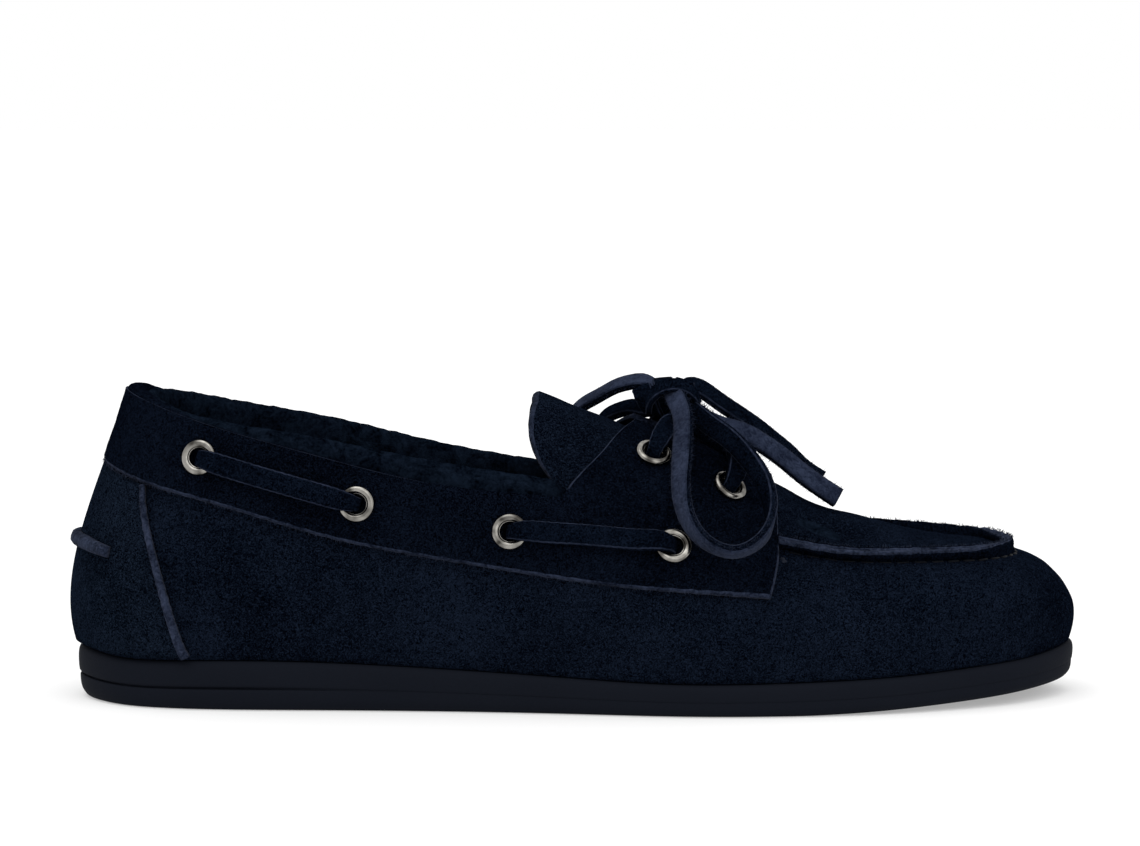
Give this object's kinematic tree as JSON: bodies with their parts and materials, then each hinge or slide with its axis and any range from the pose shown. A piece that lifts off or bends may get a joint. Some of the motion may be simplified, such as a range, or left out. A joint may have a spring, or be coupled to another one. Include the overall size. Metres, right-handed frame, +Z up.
{
  "type": "boat shoe",
  "caption": "Low laced moccasin shoe in suede with an apron seam, padded collar, side lacing through metal eyelets and a flat rubber sole.",
  "frame": {"origin": "on the ground under the middle of the shoe's length and width", "axes": "+X from heel to toe, -Y towards the outer side, +Z up"},
  "size_m": [0.2617, 0.093, 0.0827],
  "materials": {
    "navy_suede": "matte suede nap",
    "navy_leather_lining": "smooth matte",
    "navy_rubber": "satin moulded rubber",
    "insole_leather": "smooth matte",
    "nickel": "polished nickel",
    "navy_lace_leather": "raw cut suede"
  },
  "bodies": {
    "root": {"sole": "navy_rubber", "insole": "insole_leather", "upper": "navy_suede", "collar_band": "navy_suede", "heel_counter": "navy_suede", "heel_tab": "navy_suede", "tongue": "navy_suede", "collar_roll": "navy_leather_lining", "eyelet_outer_1": "nickel", "eyelet_outer_2": "nickel", "eyelet_outer_3": "nickel", "eyelet_outer_4": "nickel", "eyelet_outer_5": "nickel", "eyelet_outer_6": "nickel", "eyelet_inner_1": "nickel", "eyelet_inner_2": "nickel", "eyelet_inner_3": "nickel", "eyelet_inner_4": "nickel", "eyelet_inner_5": "nickel", "eyelet_inner_6": "nickel", "lace_bar_outer_1": "navy_lace_leather", "lace_bar_outer_3": "navy_lace_leather", "lace_bar_inner_1": "navy_lace_leather", "lace_bar_inner_3": "navy_lace_leather", "lace_crossing_front": "navy_lace_leather", "lace_crossing_rear": "navy_lace_leather", "lace_knot": "navy_lace_leather", "lace_loop_outer": "navy_lace_leather", "lace_loop_inner": "navy_lace_leather", "lace_end_inner": "navy_lace_leather", "lace_end_outer": "navy_lace_leather"}
  },
  "joints": []
}
